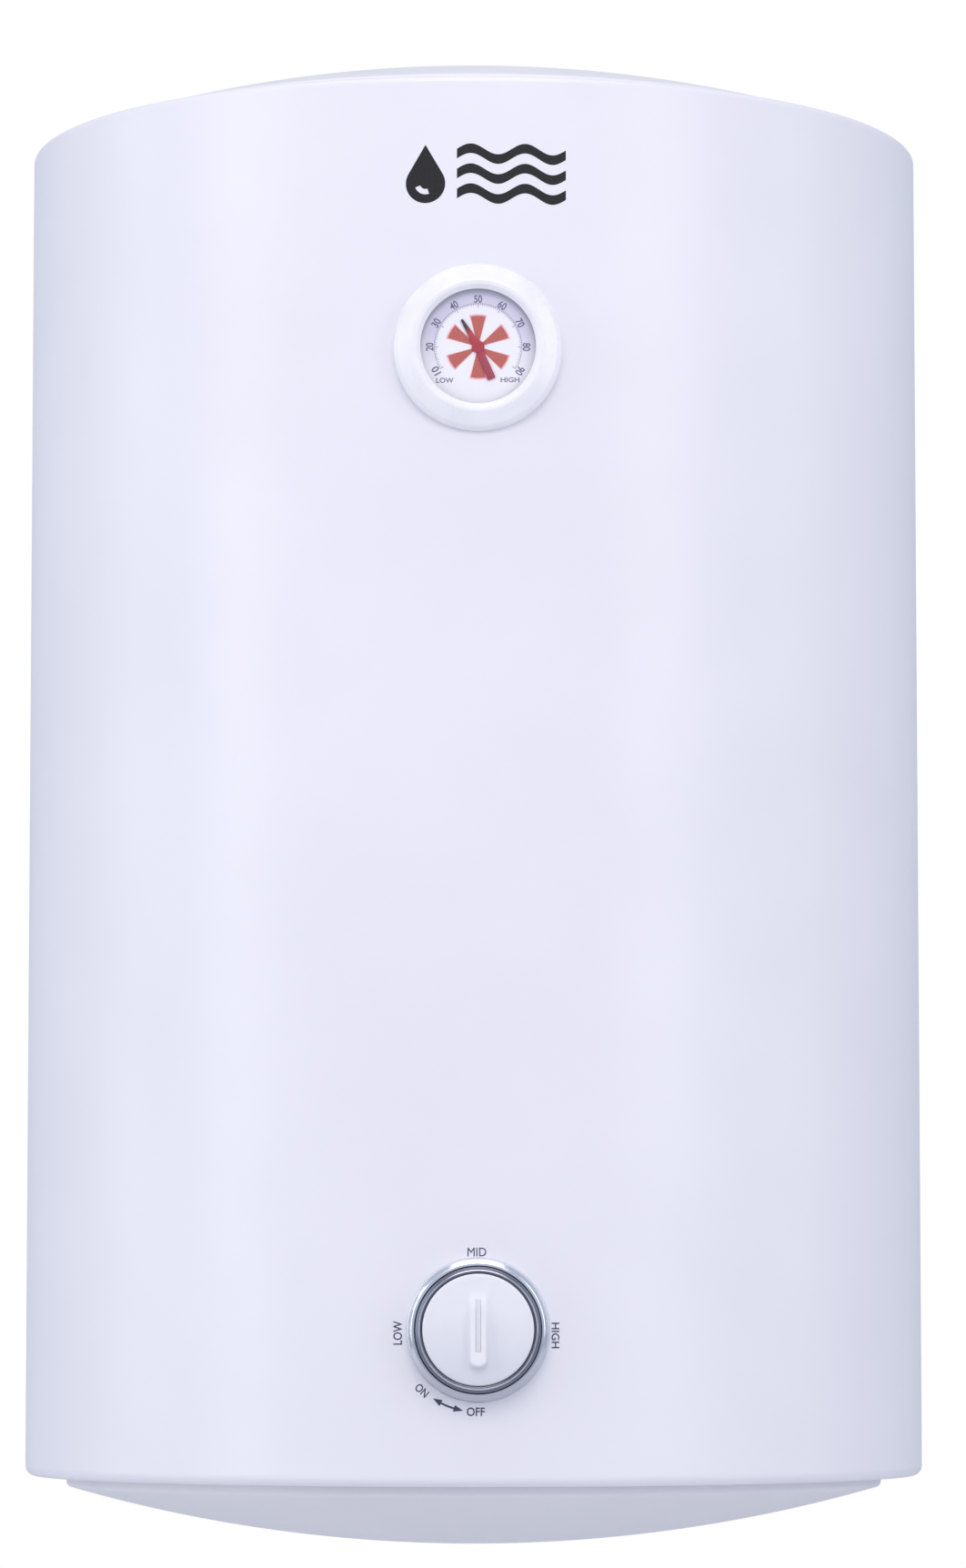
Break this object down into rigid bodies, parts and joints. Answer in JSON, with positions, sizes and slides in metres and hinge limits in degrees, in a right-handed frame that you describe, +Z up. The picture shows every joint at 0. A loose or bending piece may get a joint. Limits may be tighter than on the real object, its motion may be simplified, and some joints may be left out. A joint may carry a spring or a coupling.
{
  "type": "tank water heater",
  "caption": "Wall-hung upright electric storage water heater: white round casing with domed ends, dial thermometer, thermostat knob, pipe ends below and a hanging bracket behind.",
  "frame": {"origin": "centre of the hanging bracket's back face, on the wall plane", "axes": "+Z up along the casing, +Y into the wall, +X to the right seen from the front"},
  "size_m": [0.45, 0.4927, 0.7408],
  "materials": {
    "casing_white": "gloss white enamel on sheet steel",
    "cover_grey": "satin pale grey enamel",
    "knob_white": "moulded plastic, soft gloss",
    "bezel_white": "moulded plastic, gloss",
    "chrome_trim": "chrome plated plastic",
    "marker_grey": "matt insert",
    "dial_print": "printed card dial",
    "gauge_lens": "clear polystyrene window",
    "needle_red": "painted needle",
    "foam": "open rigid polyurethane foam",
    "tank_enamel": "vitreous enamel on steel",
    "zinc_steel": "zinc plated steel",
    "copper": "drawn copper tube",
    "brass": "turned brass",
    "anode_metal": "cast magnesium",
    "black_plastic": "moulded heat-proof plastic",
    "white_plastic": "moulded nylon",
    "collar_red": "moulded plastic ring",
    "collar_blue": "moulded plastic ring",
    "black_rubber": "soft moulded rubber",
    "gasket_rubber": "silicone rubber",
    "wire_brown": "wire sleeve",
    "wire_blue": "wire sleeve",
    "wire_black": "wire sleeve",
    "wire_green": "wire sleeve, green with yellow"
  },
  "bodies": {
    "heater": {"outer_casing": "casing_white", "top_cover": "cover_grey", "bottom_cover": "cover_grey", "service_cover": "cover_grey", "service_cover_screw_1": "zinc_steel", "service_cover_screw_2": "zinc_steel", "cable_grommet": "black_rubber", "insulation_foam": "foam", "tank_body": "tank_enamel", "tank_top_head": "tank_enamel", "tank_bottom_head": "tank_enamel", "tank_flange_collar": "zinc_steel", "flange_gasket": "gasket_rubber", "flange_plate": "zinc_steel", "flange_bolt_1": "zinc_steel", "flange_bolt_2": "zinc_steel", "flange_bolt_3": "zinc_steel", "flange_bolt_4": "zinc_steel", "heating_element": "copper", "element_terminal_left": "brass", "element_terminal_right": "brass", "thermowell": "copper", "thermostat_bulb": "copper", "magnesium_anode": "anode_metal", "thermal_cutout": "black_plastic", "terminal_block": "white_plastic", "live_wire": "wire_brown", "element_wire": "wire_black", "neutral_wire": "wire_blue", "earth_wire": "wire_green", "thermostat_wire": "wire_black", "thermostat_body": "black_plastic", "thermostat_screw_left": "zinc_steel", "thermostat_screw_right": "zinc_steel", "knob_bezel": "chrome_trim", "gauge_bezel": "bezel_white", "gauge_housing": "black_plastic", "gauge_dial": "dial_print", "gauge_lens": "gauge_lens", "bimetal_coil": "brass", "hot_nipple": "zinc_steel", "hot_dip_tube": "zinc_steel", "hot_collar": "collar_red", "cold_nipple": "zinc_steel", "cold_inlet_diffuser": "white_plastic", "cold_collar": "collar_blue", "wall_bracket": "zinc_steel", "bracket_boss_left": "zinc_steel", "bracket_boss_right": "zinc_steel", "bracket_bolt_1": "zinc_steel", "bracket_bolt_2": "zinc_steel", "bracket_bolt_3": "zinc_steel", "bracket_bolt_4": "zinc_steel", "wall_spacer": "black_rubber"},
    "knob": {"control_knob": "knob_white", "knob_trim_ring": "chrome_trim", "knob_marker": "marker_grey", "thermostat_spindle": "zinc_steel"},
    "gauge_needle": {"gauge_pointer": "needle_red"},
    "reset_button": {"reset_button": "collar_red"}
  },
  "joints": [
    {"name": "knob_turn", "type": "hinge", "parent": "heater", "child": "knob", "pos_m": [0, -0.4836, -0.444], "axis": [0, 1, 0], "range_deg": [-180, 90]},
    {"name": "needle_swing", "type": "hinge", "parent": "heater", "child": "gauge_needle", "pos_m": [0, -0.4775, 0.019], "axis": [0, 1, 0], "range_deg": [-90, 150], "stiffness_Nm_per_rad": 0.0005},
    {"name": "reset_press", "type": "slide", "parent": "heater", "child": "reset_button", "axis": [0, 0, 1], "range_m": [0, 0.0015], "stiffness_N_per_m": 300}
  ]
}
